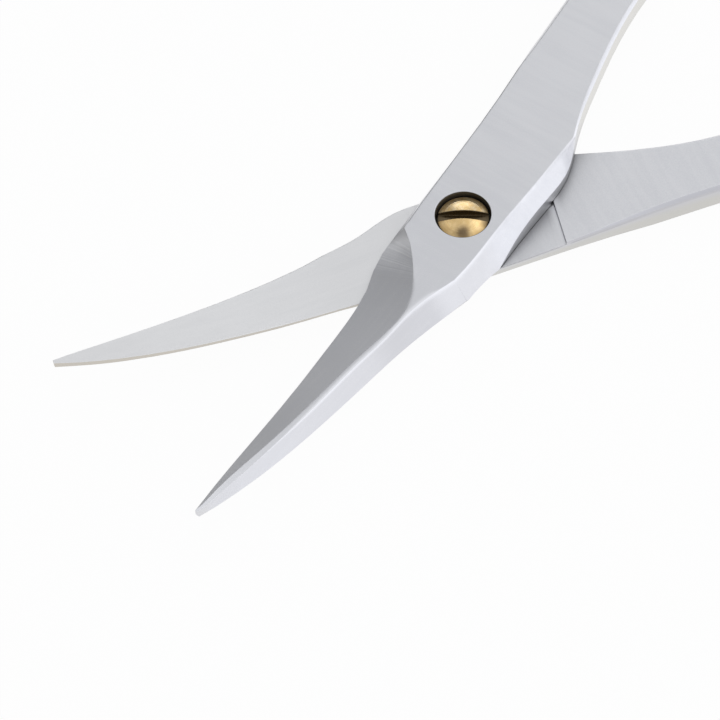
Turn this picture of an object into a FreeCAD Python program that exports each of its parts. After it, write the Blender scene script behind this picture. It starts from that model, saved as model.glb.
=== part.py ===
import FreeCAD, Part
import math
import os

# Curved cuticle scissors, open on a table, in millimetres. The pivot axis is +Z and the
# tips point along +Y. Each half is drawn closed, about the face where the halves slide on
# each other, then turned open. The lower half is the upper one mirrored, and both blades
# bend upwards, so a height is measured from the sliding face along the half's own side.

# Opening at rest, of each half from the centre line, in degrees
OPEN_ANGLE = 15.42
FULL_TURN = 360.0

# Forging
REACH = 28.45            # pivot to tip
PIVOT_HALF = 3.70        # half the width at the pivot
STOCK = 1.82             # thickness of one half at the pivot
TIP_STOCK = 0.54         # thickness at the tip
SLIDE_GAP = 0.05         # running gap between the two halves
OVERRUN = 3.0            # how far a cutter runs past the metal

# Bend of the blades: flat out to BEND_START, then an arc of BEND_RADIUS
BEND_START = 8.95
BEND_RADIUS = 61.3

# Ground edge
EDGE_LAND = 0.36         # height of the narrow bevel at the heel of the cutting edge
TIP_LAND = 0.51          # and at the tip
EDGE_LEAN = 0.10         # how far that bevel leans back at the heel
TIP_LEAN = 0.04          # and at the tip

# Shank, from the pivot to where it starts to bend down to the finger bow
SHANK = 22.9
SHANK_END_IN = 0.50      # inner side there, from the centre line
SHANK_END_OUT = 4.65     # outer side there
SHANK_BREAK = 0.20       # bevel along its edges
BREAK_SHARE = 0.58       # it grows to full width over this share of the way back
RIDE_REACH = 6.20        # the ground seat round the pivot ends here
RIDE_LEAN = 10.8         # along a line that leans by this, in degrees
RIDE_STEP = 0.15         # the lower shank stands proud of that seat
RELIEF_RADIUS = 6.00     # the upper half is relieved outside this radius

# Finger bow
BOW_HOLE_WIDE = 19.2
BOW_HOLE_LONG = 24.4
BOW_END_SHARE = 0.84     # radius of the oval's ends, as a share of half its width
BOW_RIM = 3.0            # width of the ring
BOW_STOCK = 2.7          # thickness of the ring
BOW_ROUND = 1.22         # rounding of its edges
BOW_ASIDE = 0.8          # its inner side, from the centre line
BOW_BEHIND = 0.8         # its front, behind the start of the neck
BOW_LEAN = 7.0           # lean of the oval, in degrees
NECK_OUT = 3.55          # where the neck begins, from the centre line
NECK_BEND = 8.6          # and behind the shank, which bends down over this length
NECK_WIDE = 3.4
NECK_LEAN = 13.0         # direction of the neck, in degrees from straight back
NECK_LONG = 8.0
CROTCH_OUT = 1.6         # fillet between neck and bow, outer side
CROTCH_IN = 5.0          # and inner side

# Centre of the bow and start of the neck, which follow from the sizes above
NECK_BACK = SHANK + NECK_BEND
BOW_OUT = BOW_ASIDE + BOW_RIM + BOW_HOLE_WIDE / 2
BOW_BACK = NECK_BACK + BOW_BEHIND + BOW_RIM + BOW_HOLE_LONG / 2

# Pivot screw
POCKET_RADIUS = 1.84
POCKET_DEPTH = 1.02
HEAD_RADIUS = 1.685
HEAD_SINK = 0.38         # rim of the head below the top face
HEAD_SEAT_GAP = 0.03
DOME = 0.40              # rise of the domed head
SLOT_WIDTH = 0.64
SLOT_DEPTH = 0.52
SLOT_ANGLE = 48.7        # degrees from +X
JOURNAL_RADIUS = 1.15
JOURNAL_CLEARANCE = 0.04
THREAD_RADIUS = 1.00     # its end is flush with the underside of the lower half

# Blade, station by station: share of the reach, then shares of PIVOT_HALF for the cutting
# edge, the two sides of the narrow ridge, and the back of the blade
BLADE_SHARES = (
    (0.330, 0.597, -0.345, -0.395, -0.605),
    (0.450, 0.513, -0.220, -0.292, -0.485),
    (0.560, 0.437, -0.148, -0.220, -0.411),
    (0.790, 0.278, -0.035, -0.110, -0.262),
    (0.930, 0.136, 0.012, -0.055, -0.130),
    (1.004, 0.035, 0.006, -0.018, -0.035),
)
# The dark facet's root: share of the reach, shares of PIVOT_HALF for its rounded border on
# the top face and for its low side, share of STOCK for the height of its low side
ROOT_SHARES = (
    (0.085, 0.860, 1.060, 0.080),
    (0.120, 0.540, 0.950, 0.170),
    (0.162, 0.210, 0.875, 0.198),
    (0.213, -0.080, 0.800, 0.198),
    (0.273, -0.292, 0.655, 0.198),
)
# Heel of the cutting edge: corners, as shares of PIVOT_HALF and of the reach
HEEL_SHARES = ((1.000, 0.000), (0.888, 0.158), (0.795, 0.214), (0.645, 0.268))
# Shoulder at the back of the blade, the same way, for the upper half (1) and for the lower
# half (-1), which is ground narrower along its inner side
SHOULDER_SHARES = {
    1: ((-0.985, 0.000), (-1.000, 0.060), (-0.965, 0.128), (-0.865, 0.180), (-0.755, 0.240)),
    -1: ((-0.880, 0.000), (-0.895, 0.060), (-0.905, 0.120), (-0.815, 0.178), (-0.710, 0.226)),
}
# Inner side of the shank: shares of PIVOT_HALF and of SHANK, for each half
INNER_SHARES = {
    1: ((-0.985, 0.000), (-0.975, 0.170), (-0.905, 0.314), (-0.605, 0.440), (-0.290, 0.609), (-0.025, 0.790)),
    -1: ((-0.880, 0.000), (-0.900, 0.170), (-0.840, 0.314), (-0.565, 0.441), (-0.205, 0.609), (0.065, 0.790)),
}
# Outer side of the shank, the same way
OUTER_SHARES = ((1.000, 0.000), (1.055, 0.230), (1.065, 0.370), (1.100, 0.600), (1.200, 0.800))
# Facets along the sides: share of SHANK or of the reach, share of PIVOT_HALF for the top
# line, shares of PIVOT_HALF and STOCK for the low line
INNER_FACET_SHARES = (
    (-0.425, -0.684, -0.700, 0.030),
    (-0.300, -0.684, -0.925, 0.490),
    (-0.140, -0.684, -0.975, 0.640),
    (0.000, -0.684, -0.985, 0.300),
    (0.160, -0.680, -0.928, 0.000),
)
SHOULDER_FACET_SHARES = (
    (0.160, -0.680, -0.925, 0.000),
    (0.199, -0.585, -0.835, 0.000),
    (0.262, -0.455, -0.715, 0.000),
)
OUTER_FACET_SHARES = (
    (-0.740, 1.240, 1.260, 0.030),
    (-0.600, 1.095, 1.135, 0.030),
    (-0.300, 0.892, 1.065, 0.030),
    (0.000, 0.776, 1.000, 0.030),
    (0.205, 0.585, 0.900, 0.100),
)
# A rounding is cut in two steps, first the corner and then the two corners that this leaves:
# shares of the radius
ROUND_CUT_SHARES = (0.586, 0.215)
# Bend of the shank towards the bow: shares of the way back to the neck, of the way sideways
# and of the change in height, width and corners
BEND_SHARES = ((0.33, 0.22, 0.24), (0.67, 0.58, 0.74))

V = FreeCAD.Vector
UP = V(0, 0, 1)
ORIGIN = V(0, 0, 0)


def sliding_face(radius):
    """Height of the sliding face at a distance from the pivot axis."""
    past = max(radius - BEND_START, 0)
    return BEND_RADIUS - math.sqrt(BEND_RADIUS ** 2 - past ** 2)


def thickness(radius):
    """Thickness of a half, which tapers evenly along the bent stretch."""
    taper = max(radius - BEND_START, 0) / (REACH - BEND_START)
    return STOCK - (STOCK - TIP_STOCK) * taper


def place(side, x, y, height):
    """A point of the half on this side, at a height from the sliding face."""
    bend = sliding_face(math.hypot(x, y)) if y > 0 else 0
    return V(side * x, y, bend + side * height)


def spline(points):
    curve = Part.BSplineCurve()
    curve.interpolate(points)
    return curve.toShape()


def prism(edges, low, high):
    face = Part.Face(Part.Wire(edges))
    face.translate(V(0, 0, low))
    return face.extrude(V(0, 0, high - low))


def plan(side, shares, wide, long):
    return [V(side * x * wide, y * long, 0) for x, y in shares]


def blade_plan(side):
    """Outline of the blade, seen from above, from the pivot line to the tip."""
    heel = plan(side, HEEL_SHARES, PIVOT_HALF, REACH)
    back = plan(side, SHOULDER_SHARES[side], PIVOT_HALF, REACH)
    stations = BLADE_SHARES[:-1]
    edge = [V(side * s[1] * PIVOT_HALF, s[0] * REACH, 0) for s in stations]
    spine = [V(side * s[4] * PIVOT_HALF, s[0] * REACH, 0) for s in stations]
    tip_half = BLADE_SHARES[-1][1] * PIVOT_HALF
    edge_tip = V(side * tip_half, REACH, 0)
    back_tip = V(-side * tip_half, REACH, 0)
    edges = [Part.makeLine(a, b) for a, b in zip(heel, heel[1:])]
    edges.append(spline([heel[-1]] + edge + [edge_tip]))
    edges.append(Part.makeLine(edge_tip, back_tip))
    edges.append(spline([back_tip] + spine[::-1] + back[::-1]))
    edges.append(Part.makeLine(back[0], heel[0]))
    return edges


def shank_plan(side):
    """Outline of the shank, from the pivot line back to where it bends."""
    inner = plan(side, INNER_SHARES[side], PIVOT_HALF, -SHANK)
    outer = plan(side, OUTER_SHARES, PIVOT_HALF, -SHANK)
    inner.append(V(side * SHANK_END_IN, -SHANK, 0))
    outer.append(V(side * SHANK_END_OUT, -SHANK, 0))
    edges = [spline(outer), spline(inner)]
    edges.append(Part.makeLine(inner[0], outer[0]))
    edges.append(Part.makeLine(inner[-1], outer[-1]))
    return Part.__sortEdges__(edges)


def bent_band(side):
    """Solid of revolution between the sliding face and the outer face of a half."""
    near = side * SLIDE_GAP / 2
    end = REACH + OVERRUN
    middle = (BEND_START + end) / 2

    def face_line(height):
        flat = Part.makeLine(V(0, 0, height(0)), V(BEND_START, 0, height(BEND_START)))
        points = [V(r, 0, height(r)) for r in (BEND_START, middle, end)]
        return [flat, Part.Arc(*points).toShape()]

    slide = face_line(lambda r: sliding_face(r) + near)
    outer = face_line(lambda r: sliding_face(r) + side * thickness(r))
    ends = [Part.makeLine(slide[0].firstVertex().Point, outer[0].firstVertex().Point)]
    ends.append(Part.makeLine(slide[1].lastVertex().Point, outer[1].lastVertex().Point))
    wire = Part.Wire(Part.__sortEdges__(slide + outer + ends))
    return Part.Face(wire).revolve(ORIGIN, UP, FULL_TURN)


def facet_cutter(side, stations, outward, upward=1):
    """Takes off what lies outside a ground facet.

    Each station is y, top x, top height, low x, low height. The facet runs from the low
    point to the top point. Outward and upward are the signs of x and height on its open side.
    """
    corner = (outward * (PIVOT_HALF * 2 + OVERRUN), upward * (STOCK + OVERRUN * 2))
    wires = []
    for y, top_x, top_h, low_x, low_h in stations:
        run = math.hypot(top_x - low_x, top_h - low_h) / OVERRUN
        ux = (top_x - low_x) / run
        uh = (top_h - low_h) / run
        corners = ((low_x - ux, low_h - uh), (top_x + ux, top_h + uh), corner)
        points = [place(side, x, y, h) for x, h in corners]
        wires.append(Part.makePolygon(points + points[:1]))
    return Part.makeLoft(wires, True, False)


def edge_land(along):
    """Height and lean of the narrow bevel at a share of the reach."""
    heel = BLADE_SHARES[0][0]
    past = (along - heel) / (1 - heel)
    return EDGE_LAND + (TIP_LAND - EDGE_LAND) * past, EDGE_LEAN + (TIP_LEAN - EDGE_LEAN) * past


def edge_facet(side):
    """The broad dark facet above the cutting edge, from its rounded root to the tip."""
    stations = []
    for along, top, low, height in ROOT_SHARES:
        stations.append((along * REACH, top * PIVOT_HALF, STOCK, low * PIVOT_HALF, height * STOCK))
    for along, edge, ridge, _, _ in BLADE_SHARES:
        y = along * REACH
        land, lean = edge_land(along)
        stations.append((y, ridge * PIVOT_HALF, thickness(y), edge * PIVOT_HALF - lean, land))
    return facet_cutter(side, stations, 1)


def edge_bevel(side):
    """The narrow, nearly upright bevel at the cutting edge."""
    x, along = HEEL_SHARES[-1]
    start = x * PIVOT_HALF + SLIDE_GAP
    stations = [(along * REACH, start, EDGE_LAND, start, 0)]
    for along, edge, _, _, _ in BLADE_SHARES:
        x = edge * PIVOT_HALF
        land, lean = edge_land(along)
        stations.append((along * REACH, x - lean, land, x, 0))
    return facet_cutter(side, stations, 1)


def side_facet(side, shares, outward):
    """A facet along the side of the pivot zone and shank."""
    stations = []
    for along, top, low, height in shares:
        long = REACH if along > 0 else SHANK
        stations.append((along * long, top * PIVOT_HALF, STOCK, low * PIVOT_HALF, height * STOCK))
    return facet_cutter(side, stations, outward)


def back_facet(side):
    """The bright facet along the back of the blade."""
    stations = []
    for along, top, low, height in SHOULDER_FACET_SHARES:
        stations.append((along * REACH, top * PIVOT_HALF, STOCK, low * PIVOT_HALF, height * STOCK))
    for along, _, _, ridge, back in BLADE_SHARES:
        y = along * REACH
        stations.append((y, ridge * PIVOT_HALF, thickness(y), back * PIVOT_HALF, 0))
    return facet_cutter(side, stations, -1)


def edge_breaks(side):
    """Cutters for the narrow bevels along the shank's four long edges."""
    slide = RIDE_STEP + SLIDE_GAP if side > 0 else -RIDE_STEP
    cutters = []
    for shares, end, outward in ((INNER_SHARES[side], SHANK_END_IN, -1), (OUTER_SHARES, SHANK_END_OUT, 1)):
        walls = [(along, x * PIVOT_HALF) for x, along in shares[1:]]
        walls += [(1, end), (1 + 1 - shares[-1][1], end)]
        for level, upward in ((STOCK, 1), (slide, -1)):
            stations = []
            for along, x in walls:
                wide = SHANK_BREAK * min(1, (along / BREAK_SHARE) ** 2)
                stations.append((-along * SHANK, x - outward * wide, level, x, level - upward * wide))
            cutters.append(facet_cutter(side, stations, outward, upward))
    return cutters


def round_corner(radius):
    """Points of a rounded corner, as distances from the sharp corner along its two sides."""
    first, second = (radius * share for share in ROUND_CUT_SHARES)
    slant = second * math.cos(math.pi / 4)
    return [(first + second, 0), (first - slant, slant), (slant, first - slant), (0, first + second)]


def flat_corner(wide):
    """The same number of points, all on one bevel."""
    steps = len(ROUND_CUT_SHARES) + 1
    return [(wide * (steps - n) / steps, wide * n / steps) for n in range(steps + 1)]


def neck_section(side, x, y, lean, wide, low, high, corner):
    """Section across the shank, its direction leaning out from straight back."""
    across = V(side * math.cos(math.radians(lean)), math.sin(math.radians(lean)), 0)
    centre = V(side * x, y, (low + high) / 2)
    half_wide = wide / 2
    half_high = (high - low) / 2
    quarter = [(half_wide - a, half_high - b) for a, b in corner]
    outline = quarter + [(a, -b) for a, b in quarter[::-1]]
    outline += [(-a, -b) for a, b in outline]
    points = [centre + across * a + UP * b for a, b in outline]
    return Part.makePolygon(points + points[:1])


def shank_levels(side):
    """Low and high face of the shank beyond the seat round the pivot."""
    if side > 0:
        return RIDE_STEP + SLIDE_GAP, STOCK
    return -STOCK, RIDE_STEP


def shank(side):
    """The shank and the seat the other half runs on."""
    low, high = shank_levels(side)
    shape = prism(shank_plan(side), low, high)
    for cutter in edge_breaks(side):
        shape = shape.cut(cutter)
    slide = side * SLIDE_GAP / 2
    if side > 0:
        pad = prism(shank_plan(side), slide, low + SHANK_BREAK)
        seat = Part.makeCylinder(RELIEF_RADIUS, STOCK * 2, V(0, 0, -STOCK), UP)
        return shape.fuse(pad.common(seat))
    wide = PIVOT_HALF + SHANK
    seat = Part.makeBox(wide * 2, RIDE_REACH + wide, STOCK, V(-wide, -RIDE_REACH, slide))
    seat.rotate(ORIGIN, UP, side * RIDE_LEAN)
    return shape.cut(seat)


def neck(side):
    """The shank's bend down to the level of the bow."""
    low, high = shank_levels(side)
    bow_low = -STOCK
    start_x = (SHANK_END_IN + SHANK_END_OUT) / 2
    start_wide = SHANK_END_OUT - SHANK_END_IN
    begin = (start_x, -SHANK, 0, start_wide, low, high)
    finish = (NECK_OUT, -NECK_BACK, NECK_LEAN, NECK_WIDE, bow_low, bow_low + BOW_STOCK)
    corners = (flat_corner(SHANK_BREAK), round_corner(BOW_ROUND))
    wires = [neck_section(side, *begin, corners[0])]
    for along, sideways, drop in BEND_SHARES:
        mixed = [a + (b - a) * drop for a, b in zip(begin, finish)]
        mixed[0] = begin[0] + (finish[0] - begin[0]) * sideways
        mixed[1] = begin[1] + (finish[1] - begin[1]) * along
        corner = [(a + (c - a) * drop, b + (d - b) * drop) for (a, b), (c, d) in zip(*corners)]
        wires.append(neck_section(side, *mixed, corner))
    wires.append(neck_section(side, *finish, corners[1]))
    return Part.makeLoft(wires, True, False)


def oval(side, grow):
    """Plan oval of the bow's hole, drawn with four arcs and grown by an amount."""
    half_long = BOW_HOLE_LONG / 2
    half_wide = BOW_HOLE_WIDE / 2
    end_radius = half_wide * BOW_END_SHARE
    end_centre = half_long - end_radius
    side_radius = (end_centre ** 2 + half_wide ** 2 - end_radius ** 2) / (half_wide - end_radius) / 2
    side_centre = side_radius - half_wide
    reach = side_radius - end_radius
    meet = V(side_centre / reach, end_centre / reach, 0) * (side_radius + grow) - V(side_centre, 0, 0)
    joints = [V(sx * meet.x, sy * meet.y, 0) for sx, sy in ((1, 1), (-1, 1), (-1, -1), (1, -1))]
    tops = [V(0, half_long + grow, 0), V(-half_wide - grow, 0, 0)]
    tops += [-tops[0], -tops[1]]
    arcs = []
    for number, top in enumerate(tops):
        following = joints[(number + 1) % len(joints)]
        arcs.append(Part.Arc(joints[number], top, following).toShape())
    shape = Part.Wire(arcs)
    shape.rotate(ORIGIN, UP, side * BOW_LEAN)
    shape.translate(V(side * BOW_OUT, -BOW_BACK, 0))
    return shape.Edges


def bow(side):
    """The finger bow with its neck, rounded along every edge."""
    low = -STOCK
    high = low + BOW_STOCK
    plate = prism(oval(side, BOW_RIM), low, high)
    lean = math.radians(NECK_LEAN)
    back = V(side * math.sin(lean), -math.cos(lean), 0)
    across = V(side * math.cos(lean), math.sin(lean), 0)
    start = V(side * NECK_OUT, -NECK_BACK, 0)
    half = across * (NECK_WIDE / 2)
    far = start + back * NECK_LONG
    corners = [start + half, start - half, far - half, far + half]
    stub = prism(Part.makePolygon(corners + corners[:1]).Edges, low, high)
    plate = plate.fuse(stub).removeSplitter()
    for sign, radius in ((1, CROTCH_OUT), (-1, CROTCH_IN)):
        wall = across * (sign * NECK_WIDE / 2) + start
        upright = []
        for edge in plate.Edges:
            offset = edge.CenterOfMass - wall
            on_wall = abs(offset.dot(across)) < SLIDE_GAP and offset.dot(back) > SLIDE_GAP
            if on_wall and edge.BoundBox.ZLength > BOW_STOCK / 2:
                upright.append(edge)
        plate = plate.makeFillet(radius, upright)
    plate = plate.cut(prism(oval(side, 0), low - OVERRUN, high + OVERRUN))
    for share in ROUND_CUT_SHARES:
        level = [edge for edge in plate.Edges if edge.BoundBox.ZLength < SLIDE_GAP]
        loose = [edge for edge in level if abs((edge.CenterOfMass - start).dot(back)) > SLIDE_GAP]
        plate = plate.makeChamfer(BOW_ROUND * share, loose)
    return plate


def half(side):
    """One half, closed, with the sliding face at z = 0 near the pivot."""
    tall = STOCK + OVERRUN + sliding_face(REACH)
    blade = prism(blade_plan(side), -tall, tall).common(bent_band(side))
    body = blade.fuse(shank(side)).removeSplitter()
    cutters = [
        side_facet(side, INNER_FACET_SHARES, -1),
        side_facet(side, OUTER_FACET_SHARES, 1),
        back_facet(side),
        edge_facet(side),
        edge_bevel(side),
    ]
    for cutter in cutters:
        body = body.cut(cutter)
    return body


def bore(shape, radius, low, high):
    return shape.cut(Part.makeCylinder(radius, high - low, V(0, 0, low), UP))


def front_half():
    shape = half(1)
    shape = bore(shape, POCKET_RADIUS, STOCK - POCKET_DEPTH, STOCK + OVERRUN)
    shape = bore(shape, JOURNAL_RADIUS + JOURNAL_CLEARANCE, -OVERRUN, STOCK)
    shape = shape.fuse([neck(1), bow(1)]).removeSplitter()
    shape.rotate(ORIGIN, UP, OPEN_ANGLE)
    return shape


def back_half():
    shape = bore(half(-1), THREAD_RADIUS, -STOCK - OVERRUN, OVERRUN)
    shape = shape.fuse([neck(-1), bow(-1)]).removeSplitter()
    shape.rotate(ORIGIN, UP, -OPEN_ANGLE)
    return shape


def pivot_screw():
    """Domed, slotted screw: head in the pocket, journal, then thread in the lower half."""
    seat = STOCK - POCKET_DEPTH + HEAD_SEAT_GAP
    rim = STOCK - HEAD_SINK
    top = rim + DOME
    slide = -SLIDE_GAP / 2
    end = -STOCK
    across = HEAD_RADIUS * math.cos(math.pi / 4)
    ball = (HEAD_RADIUS ** 2 + DOME ** 2) / (2 * DOME)
    shoulder = top - ball + math.sqrt(ball ** 2 - across ** 2)
    outline = [V(0, 0, end), V(THREAD_RADIUS, 0, end), V(THREAD_RADIUS, 0, slide)]
    outline += [V(JOURNAL_RADIUS, 0, slide), V(JOURNAL_RADIUS, 0, seat)]
    outline += [V(HEAD_RADIUS, 0, seat), V(HEAD_RADIUS, 0, rim)]
    edges = [Part.makeLine(a, b) for a, b in zip(outline, outline[1:])]
    edges.append(Part.Arc(outline[-1], V(across, 0, shoulder), V(0, 0, top)).toShape())
    edges.append(Part.makeLine(V(0, 0, top), V(0, 0, end)))
    shape = Part.Face(Part.Wire(edges)).revolve(ORIGIN, UP, FULL_TURN)
    wide = HEAD_RADIUS + OVERRUN
    slot = Part.makeBox(wide * 2, SLOT_WIDTH, OVERRUN, V(-wide, -SLOT_WIDTH / 2, top - SLOT_DEPTH))
    slot.rotate(ORIGIN, UP, SLOT_ANGLE)
    return shape.cut(slot)


def main():
    os.makedirs("parts", exist_ok=True)
    for name, make in (("front_half", front_half), ("back_half", back_half), ("pivot_screw", pivot_screw)):
        shape = make()
        shape.translate(V(0, 0, STOCK))
        print(name, shape.isValid(), len(shape.Solids), round(shape.Volume, 2))
        shape.exportStep("parts/" + name + ".step")


main()
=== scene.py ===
import bpy
import math
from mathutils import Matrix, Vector

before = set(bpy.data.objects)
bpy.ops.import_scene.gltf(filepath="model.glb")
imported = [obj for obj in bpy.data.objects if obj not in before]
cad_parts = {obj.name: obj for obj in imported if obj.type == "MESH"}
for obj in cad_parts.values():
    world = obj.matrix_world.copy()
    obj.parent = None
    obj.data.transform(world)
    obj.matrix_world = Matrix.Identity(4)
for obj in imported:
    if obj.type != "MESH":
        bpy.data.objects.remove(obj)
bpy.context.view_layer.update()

# Sizes in millimetres and degrees, as the part has them
MM = 0.001
OPEN_ANGLE = 15.42
STOCK = 1.82
RIDE_LEAN = 10.8
RIDE_REACH = 6.20
POCKET_RADIUS = 1.84
SLOT_ANGLE = 48.7
SLOT_WIDTH = 0.64

# Camera, from the photograph's perspective, in millimetres and degrees; clipping in metres
CAMERA_PLACE = (-108.032, 80.209, 187.926)
CAMERA_TURN = (33.740, 3.713, -128.824)
CAMERA_LENS = 175.0
CAMERA_SENSOR = 36.0
CAMERA_CLIP = (0.01, 20.0)

# Studio, in metres: the surroundings run from a darker to a brighter side
BRIGHT_SIDE = (-0.85, -0.35, 0.40)
SURROUND_LEVEL = 0.735
SURROUND_SWING = 0.55
SURROUND_MOST = 1.13
SURROUND_LEAST = 0.06
SURROUND_TINT = (0.97, 0.98, 1.0, 1.0)
# Lighter and darker patches: direction, cosines of the outer and inner edge, change of level
PATCHES = (
    ((0.73, -0.55, 0.40), 0.960, 0.988, 1.00),
    ((0.58, 0.24, 0.78), 0.960, 0.990, 0.30),
    ((-0.05, 0.15, 0.99), 0.950, 0.990, -0.25),
    ((-0.49, -0.56, 0.66), 0.940, 0.990, -0.10),
    ((-0.52, 0.82, 0.24), 0.300, 0.900, -0.50),
    ((0.30, 0.92, 0.25), 0.500, 0.950, -0.25),
)
LAMP_SIDE = (-0.05, -0.53, 0.85)
LAMP_AWAY = 0.9
LAMP_SIZE = 0.32
LAMP_POWER = 0.16
FLOOR_HALF = 1.5
FLOOR_DROP = 0.00002
FLOOR_GLOW = 0.96
FLOOR_GREY = (0.92, 0.92, 0.92, 1.0)
FLOOR_PALE = (0.95, 0.95, 0.95, 1.0)

# Colours of the steel: top faces; bright facets, lighter and bluer than the top faces as a painted
# reflection; bare inner face; gleaming edges, a painted highlight; and sides, painted with the
# warm and grey tones they reflect
STEEL = (0.768, 0.770, 0.788, 1.0)
STEEL_DEEP = (0.712, 0.716, 0.740, 1.0)
FACET = (0.832, 0.836, 0.877, 1.0)
FACET_DEEP = (0.778, 0.784, 0.828, 1.0)
BARE = (0.850, 0.848, 0.850, 1.0)
BARE_DEEP = (0.812, 0.812, 0.816, 1.0)
GLEAM = (0.960, 0.960, 1.000, 1.0)
SIDE_FRONT = (0.755, 0.745, 0.720, 1.0)
SIDE_GREY = (0.620, 0.620, 0.655, 1.0)
SIDE_WARM = (0.620, 0.612, 0.588, 1.0)
SIDE_TAN = (0.607, 0.573, 0.518, 1.0)
# Dark wall of the pocket: painted shade in the recess
POCKET_DARK = (0.058, 0.050, 0.037, 1.0)
# Colours of the brass
BRASS = (0.86, 0.63, 0.32, 1.0)
BRASS_DEEP = (0.76, 0.53, 0.24, 1.0)
# A paler brass for the painted highlight beyond the slot, then the painted dark reflection and the
# slot's painted shade
BRASS_PALE = (0.88, 0.71, 0.45, 1.0)
BRASS_PAINTED_DARK = (0.20, 0.14, 0.08, 1.0)
SLOT_DARK = (0.160, 0.122, 0.074, 1.0)
SHADE = (0.0, 0.0, 0.0, 1.0)
WHITE = (1.0, 1.0, 1.0, 1.0)

# Noise of the finishes: scale per millimetre, stretch across, along and upwards, detail.
# The floor's scale is per metre.
ALONG_GRAIN = (2.6, (1.0, 0.07, 1.0), 4.0)
CROSS_GRAIN = (2.0, (0.08, 1.0, 1.0), 4.0)
SPECKLE_GRAIN = (14.0, (1.0, 1.0, 1.0), 2.0)
CLOUD_GRAIN = (0.30, (1.0, 1.0, 1.0), 2.0)
BRASS_GRAIN = (3.0, (1.0, 1.0, 1.0), 4.0)
FLOOR_GRAIN = (900.0, (1.0, 1.0, 1.0), 2.0)
# Ground and turned lines: per radian on the dark facet and per millimetre elsewhere, depth
LINES_ROUGH = 0.6
WHEEL_CENTRE = (-2.93, 5.57)
WHEEL_LINES = 38.0
WHEEL_DEPTH = 2.6
SEAT_LINES = 5.0
SEAT_DEPTH = 0.6
BRASS_RINGS = 6.0
BRASS_RINGS_DETAIL = 3.0
# How far each kind of noise shows in the steel's relief, tone and roughness
RELIEF_DEPTH = 0.004
RELIEF_BRUSHED = 0.35
RELIEF_GRAIN = 0.25
TONE_MIDDLE = 0.5
TONE_BRUSHED = 1.30
TONE_GRAIN = 1.80
TONE_CLOUD = 0.5
TONE_MARKS = 0.16
ROUGH_BASE = 0.30
ROUGH_SPECKLE = 0.10
# The same for the brass, and the radius of its edges
BRASS_DEPTH = 0.010
BRASS_SPOTS = 0.3
BRASS_ROUGH_RINGS = 0.12
BRASS_EDGE = 0.06
# Softened edges and the painted shade where the halves meet are found with this many rays
NEAR_SAMPLES = 8

# Ramps: where a change begins and where it is complete, then the levels there if they aren't
# 0 and 1. These lie along a half, in millimetres from the pivot towards the tip.
BLADE = (2.0, 8.0)
FACET_ROOT = (2.2, 2.8)
WHEEL_BEGINS = (3.0, 4.4)
WHEEL_ENDS = (6.4, 5.0)
LAND_ROOT = (5.0, 7.0)
PLATE = (3.0, 2.2)
SHOULDER = (5.0, 7.5)
SHOULDER_FADES = (13.0, 9.0, 0.45, 1.0)
ROOT_LIGHT_AND_SHADE = (3.0, 4.4, 0.50, 1.22)
PAST_ROOT = (4.6, 6.4, 1.0, 0.82)
TIP_PAINTED_SHADE = (14.0, 23.0, 1.0, 0.80)
TONE_FALLS = (-14.0, 6.0, 0.22, -0.30)
SHANK_SIDES = (-9.0, -11.5)
GLEAM_GROWS = (-3.0, 3.0, 0.0, 0.60)
SHADE_GROWS = (2.0, -2.0, 0.0, 0.12)
NECK_BEGINS = (-7.8, -8.6)
NECK_ENDS = (-11.5, -9.8)
FRONT_PAINTED_SHADE = (5.5, 4.0)
BACK_BARE = (-2.0, 3.0)
BACK_TIP_DARKER = (10.0, 27.0, 1.0, 0.90)
BACK_LINE = (1.0, -1.0)
BACK_UNDERCUT = (1.0, 5.0)
BACK_PAINTED_SHADE = (2.5, 0.8, 0.25, 1.0)
# Across a half
PLATE_EDGE = (1.2, 1.9)
SEAT_LINES_BEGIN = (-RIDE_REACH - 0.02, -RIDE_REACH)
SEAT_LINES_END = (-4.4, -5.6)
STEP_PAINTED_SHADE = (0.60, 0.10, 1.0, 0.0)
# Heights, and distance from the pivot
ON_TOP = (STOCK - 0.35, STOCK - 0.15)
LOW_SIDE = (STOCK, STOCK * 0.4)
POCKET = (POCKET_RADIUS + 0.03, POCKET_RADIUS + 0.01)
# Sideways part of a face's normal; for the last, of a softened edge's
FACES_DARK = (0.12, 0.25)
FACES_BRIGHT = (-0.15, -0.30)
FACES_UP = (0.26, 0.14)
TURNS_DARK = (0.04, 0.22, 0.0, 0.40)
# Upward part of a face's normal
NOT_A_WALL = (0.20, 0.35)
FRONT_WALL = (0.45, 0.25)
FLAT_TOP = (0.96, 0.98)
BACK_TOP = (0.80, 0.90)
BACK_WALL = (0.92, 0.80)
NECK_SLOPE = (0.12, 0.22)
NECK_UNDER_TOP = (0.95, 0.90)
# Upward part of a softened edge's normal; for the last three, less that of its face
EDGE_TURNS = (0.965, 0.930)
EDGE_GLEAMS = (0.05, 0.15)
EDGE_SHADES = (0.04, 0.14)
EDGE_FALLS = (0.0, -0.02)
# Radius of the softened edges in millimetres, by kind of edge, and shares of it at the tip
SOFT_WIDE = (0.0, 1.0, 0.07, 0.58)
SOFT_BLADE = (5.0, 12.0, 1.0, 0.62)
SOFT_TIP = (15.0, 24.0, 1.0, 0.05)
SOFT_BACK = (14.0, 24.0, 0.08, 0.02)
SOFT_RIM = 0.18
# Strength of the painted shade along thin edges, the neck's painted highlight, the painted shade
# behind the shoulder and the painted shade where the halves meet
FRONT_LINE_SHARE = 0.42
BACK_LINE_SHARE = 0.36
NECK_GLEAM = 0.8
SHOULDER_PAINTED_SHADE = (0.0, 1.0, 1.0, 0.86)
PAINTED_SHADE_REACH = 3.0
PAINTED_SHADE = (0.98, 0.42, 0.0, 0.54)
# Spots in the brass and the floor, from the noise
SPOTS = (0.30, 0.70)
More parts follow.
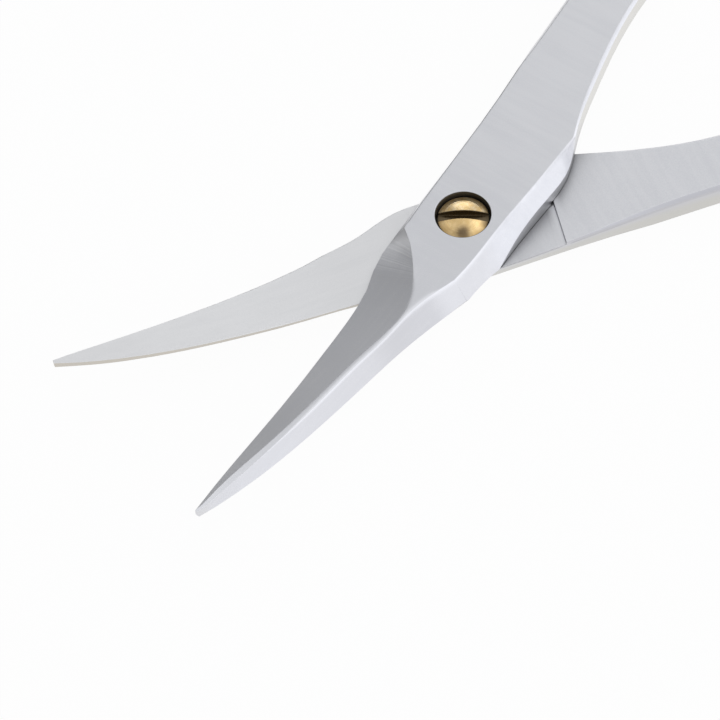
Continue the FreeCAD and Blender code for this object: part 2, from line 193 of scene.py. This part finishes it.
# Brass: the slot, painted dark as shade in the recess; the pale part beyond it, a painted
# highlight; painted dark reflection round two places; and a duller rim
SLOT_MIDDLE = -0.04
IN_SLOT = (SLOT_WIDTH / 2 + 0.03, SLOT_WIDTH / 2 - 0.01)
SLOT_HEIGHT = (STOCK * 1.2, STOCK * 1.3)
BEYOND_SLOT = (0.3, -0.4)
DARK_REFLECTION_PLACE = (-1.01, 0.84)
DARK_REFLECTION_UNEVEN = 0.25
DARK_REFLECTION = (0.75, 0.10, 0.0, 0.95)
FAR_RIM_PLACE = (-1.30, -0.86)
FAR_RIM = (0.55, 0.10, 0.0, 0.60)
RIM_ROUGH = (1.2, 1.6, 0.18, 0.42)


class Tree:
    """Short calls that add nodes to a material or the world and link them."""

    def __init__(self, owner):
        owner.use_nodes = True
        self.tree = owner.node_tree
        self.tree.nodes.clear()

    def add(self, kind, inputs=(), output=0, **settings):
        """Add a node and give one of its outputs, or the node if it has none."""
        node = self.tree.nodes.new(kind)
        for name, value in settings.items():
            setattr(node, name, value)
        for name, value in dict(inputs).items():
            self.put(node.inputs[name], value)
        return node.outputs[output] if len(node.outputs) else node

    def put(self, socket, value):
        """Link an output to a socket, or set the socket to a value."""
        if isinstance(value, bpy.types.NodeSocket):
            self.tree.links.new(value, socket)
        else:
            socket.default_value = value

    def math(self, operation, *values):
        inputs = dict(enumerate(values))
        return self.add("ShaderNodeMath", inputs, operation=operation)

    def product(self, *values):
        result = values[0]
        for value in values[1:]:
            result = self.math("MULTIPLY", result, value)
        return result

    def total(self, *terms):
        """Sum of values, each multiplied by its share."""
        result = 0.0
        for value, share in terms:
            result = self.math("MULTIPLY_ADD", value, share, result)
        return result

    def ramp(self, value, low, high, to_low=0.0, to_high=1.0):
        """Smooth step of a value between two levels."""
        inputs = {0: value, 1: low, 2: high, 3: to_low, 4: to_high}
        return self.add("ShaderNodeMapRange", inputs, interpolation_type="SMOOTHSTEP")

    def mix(self, share, a, b):
        """Colour from a to b by a share, through the mix node's colour sockets."""
        inputs = {0: share, 6: a, 7: b}
        return self.add("ShaderNodeMix", inputs, output=2, data_type="RGBA")

    def scaled(self, colour, share):
        return self.add("ShaderNodeVectorMath", {0: colour, "Scale": share}, operation="SCALE")

    def axes(self, vector):
        node = self.tree.nodes.new("ShaderNodeSeparateXYZ")
        self.put(node.inputs[0], vector)
        return node.outputs[0], node.outputs[1], node.outputs[2]

    def about_zero(self, noise):
        """Noise from 0 to 1, moved to lie about zero."""
        return self.math("SUBTRACT", noise, 0.5)

    def lines(self, value, per_mm, detail=2.0):
        """Uneven parallel lines along a coordinate."""
        inputs = {"W": value, "Scale": per_mm, "Detail": detail, "Roughness": LINES_ROUGH}
        return self.add("ShaderNodeTexNoise", inputs, noise_dimensions="1D")

    def grain(self, place, scale, stretch, detail):
        """Noise, drawn out along an axis where stretch is small."""
        stretched = self.add("ShaderNodeMapping", {"Vector": place, "Scale": stretch})
        inputs = {"Vector": stretched, "Scale": scale, "Detail": detail}
        return self.add("ShaderNodeTexNoise", inputs)

    def seen_by(self, *rays):
        """1 for a ray of one of the named kinds, else 0."""
        path = self.tree.nodes.new("ShaderNodeLightPath").outputs
        return self.math("MINIMUM", self.total(*((path[ray], 1.0) for ray in rays)), 1.0)


class Metal(Tree):
    """Metal of one piece, marked in the piece's own directions and millimetres."""

    def __init__(self, name, turn=0.0):
        self.material = bpy.data.materials.new(name)
        super().__init__(self.material)
        at_rest = self.add("ShaderNodeTexCoord", output="Object")
        rotation = (0, 0, math.radians(turn))
        inputs = {"Vector": at_rest, "Scale": (1 / MM,) * 3, "Rotation": rotation}
        self.place = self.add("ShaderNodeMapping", inputs)
        self.x, self.y, self.z = self.axes(self.place)

    def offset(self, centre):
        """The two distances from a point of the piece, seen from above."""
        return self.math("SUBTRACT", self.x, centre[0]), self.math("SUBTRACT", self.y, centre[1])

    def radius(self, centre=(0.0, 0.0)):
        """Distance from a point of the piece, seen from above."""
        squares = [self.math("POWER", side, 2.0) for side in self.offset(centre)]
        return self.math("SQRT", self.math("ADD", *squares))

    def across(self, degrees):
        """Distance from a line through the pivot that leans by some degrees."""
        lean = math.radians(degrees)
        return self.total((self.x, -math.sin(lean)), (self.y, math.cos(lean)))

    def towards_tip(self, zone):
        return self.ramp(self.y, *zone)

    def to_object(self, direction):
        """Parts of a normal in the node's own directions, the same at every pose."""
        spaces = {"vector_type": "NORMAL", "convert_from": "WORLD", "convert_to": "OBJECT"}
        return self.axes(self.add("ShaderNodeVectorTransform", {0: direction}, **spaces))

    def soft_edge(self, radius):
        """Normal that rounds the edges by a radius in millimetres."""
        inputs = {"Radius": self.math("MULTIPLY", radius, MM)}
        return self.add("ShaderNodeBevel", inputs, samples=NEAR_SAMPLES)

    def surface(self, colour, roughness, height, depth, edge, **values):
        """The metal itself: colour, gloss, fine relief and softened edges."""
        inputs = {"Height": height, "Distance": depth * MM, "Strength": 1.0, "Normal": edge}
        normal = self.add("ShaderNodeBump", inputs)
        inputs = {"Base Color": colour, "Roughness": roughness, "Normal": normal, "Metallic": 1.0}
        inputs.update(values)
        shader = self.add("ShaderNodeBsdfPrincipled", inputs)
        self.add("ShaderNodeOutputMaterial", {"Surface": shader})


class Half(Metal):
    """Satin steel of one half: what both halves share."""

    def __init__(self, name, turn):
        super().__init__(name, turn)
        self.facing = self.add("ShaderNodeNewGeometry", output="True Normal")
        self.sideways, _, self.upright = self.to_object(self.facing)
        self.find_faces()
        self.marks = self.make_marks()
        self.edge = self.soft_edge(self.make_softness())
        self.edge_sideways, _, self.edge_upright = self.to_object(self.edge)

    def finish(self):
        """Build the material and give it."""
        # Brushing: along the blade, across the shank
        cross, along = (self.grain(self.place, *g) for g in (CROSS_GRAIN, ALONG_GRAIN))
        brushing = {"Factor": self.towards_tip(BLADE), 2: cross, 3: along}
        brushed = self.about_zero(self.add("ShaderNodeMix", brushing))
        speckle = self.grain(self.place, *SPECKLE_GRAIN)
        grain = self.about_zero(speckle)
        cloud = self.about_zero(self.grain(self.place, *CLOUD_GRAIN))
        marks = (self.marks, 1.0)
        height = self.total((brushed, RELIEF_BRUSHED), (grain, RELIEF_GRAIN), marks)
        noise = (brushed, TONE_BRUSHED), (grain, TONE_GRAIN), (cloud, TONE_CLOUD)
        tone = self.total(*noise, marks, (TONE_MIDDLE, 1.0))
        # Painted shade where the halves meet and along thin edges
        colour = self.mix(self.painted_shade_and_edges(), self.make_colour(tone), SHADE)
        # Dull wall of the pocket, painted dark as shade in the recess
        pocket = self.ramp(self.radius(), *POCKET)
        colour = self.mix(pocket, colour, POCKET_DARK)
        roughness = self.total((speckle, ROUGH_SPECKLE), (ROUGH_BASE, 1.0))
        metallic = self.math("SUBTRACT", 1.0, pocket)
        edge = self.make_edge()
        self.surface(colour, roughness, height, RELIEF_DEPTH, edge, Metallic=metallic)
        return self.material

    def painted_shade_and_edges(self):
        """Painted shade where the halves run on each other, and painted shade along the thin edges
        of the top faces.
        """
        inputs = {"Distance": PAINTED_SHADE_REACH * MM}
        free = self.add("ShaderNodeAmbientOcclusion", inputs, output="AO", samples=NEAR_SAMPLES)
        painted_shade = self.product(self.ramp(free, *PAINTED_SHADE), self.ramp(self.z, *ON_TOP))
        # Painted shade along the thin edges, where the softened edge turns
        turned = self.ramp(self.axes(self.edge)[2], *EDGE_TURNS)
        line = self.product(turned, self.ramp(self.upright, *FLAT_TOP))
        return self.math("MAXIMUM", self.place_painted_shade(painted_shade), self.place_line(line))

    def toned(self, tone, share, pair, other_pair):
        """Colour by tone, from one pair of deep and pale colours to the other by a share."""
        deep, pale = (self.mix(share, a, b) for a, b in zip(pair, other_pair))
        return self.mix(self.ramp(tone, 0.0, 1.0), deep, pale)


class FrontHalf(Half):
    """The upper half, with its dark and bright facets and the land between them."""

    def find_faces(self):
        """Shares of the dark facet, the bright facets, the land and the plate's edge."""
        faces_dark = self.ramp(self.sideways, *FACES_DARK)
        self.dark_facet = self.product(faces_dark, self.towards_tip(FACET_ROOT))
        faces_bright = self.ramp(self.sideways, *FACES_BRIGHT)
        self.bright = self.product(faces_bright, self.ramp(self.upright, *NOT_A_WALL))
        faces_up = self.ramp(self.math("ABSOLUTE", self.sideways), *FACES_UP)
        self.land = self.product(faces_up, self.towards_tip(LAND_ROOT))
        self.rim = self.product(self.ramp(self.x, *PLATE_EDGE), self.towards_tip(PLATE))

    def make_marks(self):
        """Lines that the wheel left at the root of the dark facet, which fan out."""
        away_x, away_y = self.offset(WHEEL_CENTRE)
        fan = self.math("ARCTAN2", away_y, away_x)
        begins, ends = self.towards_tip(WHEEL_BEGINS), self.towards_tip(WHEEL_ENDS)
        at_root = self.product(self.dark_facet, begins, ends, WHEEL_DEPTH)
        return self.product(self.about_zero(self.lines(fan, WHEEL_LINES)), at_root)

    def make_softness(self):
        """Wide beside the bright facets and the land, narrow elsewhere and at the tip."""
        wide = self.ramp(self.math("MAXIMUM", self.bright, self.land), *SOFT_WIDE)
        soft = self.product(wide, self.towards_tip(SOFT_BLADE))
        soft = self.math("MAXIMUM", soft, self.product(self.rim, SOFT_RIM))
        return self.product(soft, self.towards_tip(SOFT_TIP))

    def place_painted_shade(self, painted_shade):
        return self.product(painted_shade, self.towards_tip(FRONT_PAINTED_SHADE))

    def place_line(self, line):
        return self.product(line, self.rim, FRONT_LINE_SHARE)

    def bright_edge(self, limits):
        """Softened edge of the bright facets, by how far it turns up or down from them."""
        lift = self.math("SUBTRACT", self.edge_upright, self.upright)
        return self.product(self.bright, self.ramp(lift, *limits))

    def ground_colour(self, tone):
        tone = self.math("ADD", tone, self.towards_tip(TONE_FALLS))
        # The bright facets are lighter and bluer than the top faces: a painted reflection
        colour = self.toned(tone, self.bright, (STEEL_DEEP, STEEL), (FACET_DEEP, FACET))
        # Painted shade: the bright facets are a little darker behind the shoulder
        fades = self.towards_tip(SHOULDER_FADES)
        at_shoulder = self.product(self.bright, self.towards_tip(SHOULDER), fades)
        colour = self.scaled(colour, self.ramp(at_shoulder, *SHOULDER_PAINTED_SHADE))
        # Painted light and shade on the dark facet: dark at its start, lighter at the root, darker
        # towards the tip; the wheel's marks add their own tone
        zones = [self.towards_tip(zone) for zone in (ROOT_LIGHT_AND_SHADE, PAST_ROOT, TIP_PAINTED_SHADE)]
        uneven = self.product(*zones, self.total((self.marks, TONE_MARKS), (1.0, 1.0)))
        return self.mix(self.dark_facet, colour, self.scaled(colour, uneven))

    def make_colour(self, tone):
        # The shank's sides are painted with the warm tone they reflect
        walls = self.ramp(self.upright, *FRONT_WALL)
        sides = self.product(walls, self.towards_tip(SHANK_SIDES))
        colour = self.mix(sides, self.ground_colour(tone), SIDE_FRONT)
        # The bright facets' softened upper edge has a painted highlight at the blade and painted
        # shade at the shank, and the slope at the neck has a painted highlight too
        gleam = self.product(self.bright_edge(EDGE_GLEAMS), self.towards_tip(GLEAM_GROWS))
        slope = [self.ramp(self.upright, *limits) for limits in (NECK_SLOPE, NECK_UNDER_TOP)]
        at_neck = [self.towards_tip(zone) for zone in (NECK_BEGINS, NECK_ENDS)]
        neck = self.product(*slope, *at_neck, NECK_GLEAM)
        colour = self.mix(self.math("MAXIMUM", gleam, neck), colour, GLEAM)
        # Painted shade along that edge at the shank
        shade = self.product(self.bright_edge(EDGE_SHADES), self.towards_tip(SHADE_GROWS))
        colour = self.mix(shade, colour, SHADE)
        # Painted shade: the land is darker where it turns to the dark facet
        turns_dark = self.ramp(self.edge_sideways, *TURNS_DARK)
        return self.mix(self.product(self.land, turns_dark), colour, SHADE)

    def make_edge(self):
        """The bright facets are softened along their upper edge only."""
        return self.mix(self.bright_edge(EDGE_FALLS), self.edge, self.facing)


class BackHalf(Half):
    """The lower half, with its bare inner face and the step of its seat."""

    def find_faces(self):
        """Distance from the pivot along the seat, square to its step."""
        self.from_pivot = self.across(-RIDE_LEAN)

    def make_marks(self):
        """Lines beside the step of the seat."""
        zones = [self.ramp(self.from_pivot, *z) for z in (SEAT_LINES_BEGIN, SEAT_LINES_END)]
        lines = self.about_zero(self.lines(self.from_pivot, SEAT_LINES))
        return self.product(lines, *zones, SEAT_DEPTH)

    def make_softness(self):
        return self.towards_tip(SOFT_BACK)

    def place_painted_shade(self, painted_shade):
        """Painted shade, fading out at the seat's step, and little of it past the pivot."""
        from_step = self.math("ABSOLUTE", self.math("ADD", self.from_pivot, RIDE_REACH))
        return self.product(painted_shade, self.towards_tip(BACK_PAINTED_SHADE), self.ramp(from_step, *STEP_PAINTED_SHADE))

    def place_line(self, line):
        return self.product(line, self.towards_tip(BACK_LINE), BACK_LINE_SHARE)

    def make_colour(self, tone):
        top = self.ramp(self.upright, *BACK_TOP)
        bare = self.product(self.towards_tip(BACK_BARE), top)
        colour = self.toned(tone, bare, (STEEL_DEEP, STEEL), (BARE_DEEP, BARE))
        # Darker towards the tip
        colour = self.scaled(colour, self.towards_tip(BACK_TIP_DARKER))
        # Sides, painted with the tones they reflect: grey at the seat's step, warm below and
        # warmer under the blade
        undercut = self.towards_tip(BACK_UNDERCUT)
        low = self.math("MAXIMUM", self.ramp(self.z, *LOW_SIDE), undercut)
        side = self.mix(low, SIDE_GREY, self.mix(undercut, SIDE_WARM, SIDE_TAN))
        return self.mix(self.ramp(self.upright, *BACK_WALL), colour, side)

    def make_edge(self):
        return self.edge


def brass():
    """Turned brass of the screw, with painted shade in the slot, a painted highlight beyond it and
    painted dark reflection in two places.
    """
    t = Metal("turned_brass")
    radius = t.radius()
    rings = t.lines(radius, BRASS_RINGS, BRASS_RINGS_DETAIL)
    spots = t.grain(t.place, *BRASS_GRAIN)
    across = t.across(SLOT_ANGLE)
    # Paler beyond the slot: a painted highlight
    pale = t.mix(t.ramp(across, *BEYOND_SLOT), BRASS, BRASS_PALE)
    colour = t.mix(t.ramp(spots, *SPOTS), BRASS_DEEP, pale)
    # A ragged patch of painted dark reflection, and another at the far rim
    uneven = t.product(t.about_zero(spots), DARK_REFLECTION_UNEVEN)
    dark_reflection = t.math("ADD", t.radius(DARK_REFLECTION_PLACE), uneven)
    colour = t.mix(t.ramp(dark_reflection, *DARK_REFLECTION), colour, BRASS_PAINTED_DARK)
    colour = t.mix(t.ramp(t.radius(FAR_RIM_PLACE), *FAR_RIM), colour, BRASS_PAINTED_DARK)
    # The slot is painted dark as shade, reaching a little past one of its edges
    from_slot = t.math("ABSOLUTE", t.math("SUBTRACT", across, SLOT_MIDDLE))
    in_slot = t.product(t.ramp(from_slot, *IN_SLOT), t.ramp(t.z, *SLOT_HEIGHT))
    colour = t.mix(in_slot, colour, SLOT_DARK)
    roughness = t.total((rings, BRASS_ROUGH_RINGS), (t.ramp(radius, *RIM_ROUGH), 1.0))
    height = t.total((rings, 1.0), (spots, BRASS_SPOTS))
    t.surface(colour, roughness, height, BRASS_DEPTH, t.soft_edge(BRASS_EDGE))
    return t.material


def pale_floor():
    """Pale floor that keeps the soft shadow and stays white behind the metal."""
    material = bpy.data.materials.new("pale_floor")
    t = Tree(material)
    speckle = t.grain(t.add("ShaderNodeTexCoord", output="Object"), *FLOOR_GRAIN)
    colour = t.mix(t.ramp(speckle, *SPOTS), FLOOR_GREY, FLOOR_PALE)
    diffuse = t.add("ShaderNodeBsdfDiffuse", {"Color": colour})
    glow = t.add("ShaderNodeEmission", {"Color": WHITE, "Strength": 1.0})
    seen = t.seen_by("Is Camera Ray", "Is Glossy Ray", "Is Transmission Ray")
    inputs = {0: t.math("MULTIPLY", seen, FLOOR_GLOW), 1: diffuse, 2: glow}
    t.add("ShaderNodeOutputMaterial", {"Surface": t.add("ShaderNodeMixShader", inputs)})
    return material


def floor():
    """The table: a flat square just under the metal."""
    mesh = bpy.data.meshes.new("floor")
    signs = ((-1, -1), (1, -1), (1, 1), (-1, 1))
    corners = [(x * FLOOR_HALF, y * FLOOR_HALF, 0) for x, y in signs]
    mesh.from_pydata(corners, [], [(0, 1, 2, 3)])
    obj = bpy.data.objects.new("floor", mesh)
    obj.location.z = -FLOOR_DROP
    bpy.context.scene.collection.objects.link(obj)
    mesh.materials.append(pale_floor())


def surround():
    """Surroundings of the studio: a run of pale light, white where the camera sees it."""
    world = bpy.data.worlds.new("studio")
    bpy.context.scene.world = world
    t = Tree(world)
    towards = t.add("ShaderNodeTexCoord", output="Generated")

    def facing(direction):
        inputs = {0: towards, 1: tuple(Vector(direction).normalized())}
        return t.add("ShaderNodeVectorMath", inputs, output="Value", operation="DOT_PRODUCT")

    level = t.total((facing(BRIGHT_SIDE), SURROUND_SWING), (SURROUND_LEVEL, 1.0))
    level = t.math("MINIMUM", level, SURROUND_MOST)
    for direction, outer, inner, change in PATCHES:
        level = t.math("ADD", level, t.ramp(facing(direction), outer, inner, 0.0, change))
    level = t.math("MAXIMUM", level, SURROUND_LEAST)
    light = t.add("ShaderNodeBackground", {"Color": SURROUND_TINT, "Strength": level})
    white = t.add("ShaderNodeBackground", {"Color": WHITE, "Strength": 1.0})
    seen = t.seen_by("Is Camera Ray", "Is Transmission Ray")
    mixed = t.add("ShaderNodeMixShader", {0: seen, 1: light, 2: white})
    t.add("ShaderNodeOutputWorld", {"Surface": mixed})


def lamp(name, place, aim, size, power):
    """Soft round lamp, turned towards a point."""
    data = bpy.data.lights.new(name, "AREA")
    data.shape = "DISK"
    data.size = size
    data.energy = power
    obj = bpy.data.objects.new(name, data)
    bpy.context.scene.collection.objects.link(obj)
    obj.location = Vector(place)
    obj.rotation_euler = (Vector(aim) - Vector(place)).to_track_quat("-Z", "Y").to_euler()


def camera():
    """Camera at the photograph's place."""
    data = bpy.data.cameras.new("camera")
    data.sensor_width = CAMERA_SENSOR
    data.lens = CAMERA_LENS
    data.clip_start, data.clip_end = CAMERA_CLIP
    obj = bpy.data.objects.new("camera", data)
    bpy.context.scene.collection.objects.link(obj)
    obj.location = Vector(CAMERA_PLACE) * MM
    obj.rotation_euler = [math.radians(a) for a in CAMERA_TURN]
    bpy.context.scene.camera = obj


def finish_node(name, material):
    """Put one material in every slot of a node."""
    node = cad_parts[name]
    for slot in node.material_slots:
        slot.material = material


scene = bpy.context.scene
scene.view_settings.view_transform = "Standard"
finish_node("front_half", FrontHalf("satin_steel_front", -OPEN_ANGLE).finish())
finish_node("back_half", BackHalf("satin_steel_back", OPEN_ANGLE).finish())
finish_node("pivot_screw", brass())
floor()
surround()
lamp("soft_top", Vector(LAMP_SIDE) * LAMP_AWAY, (0, 0, 0), LAMP_SIZE, LAMP_POWER)
camera()
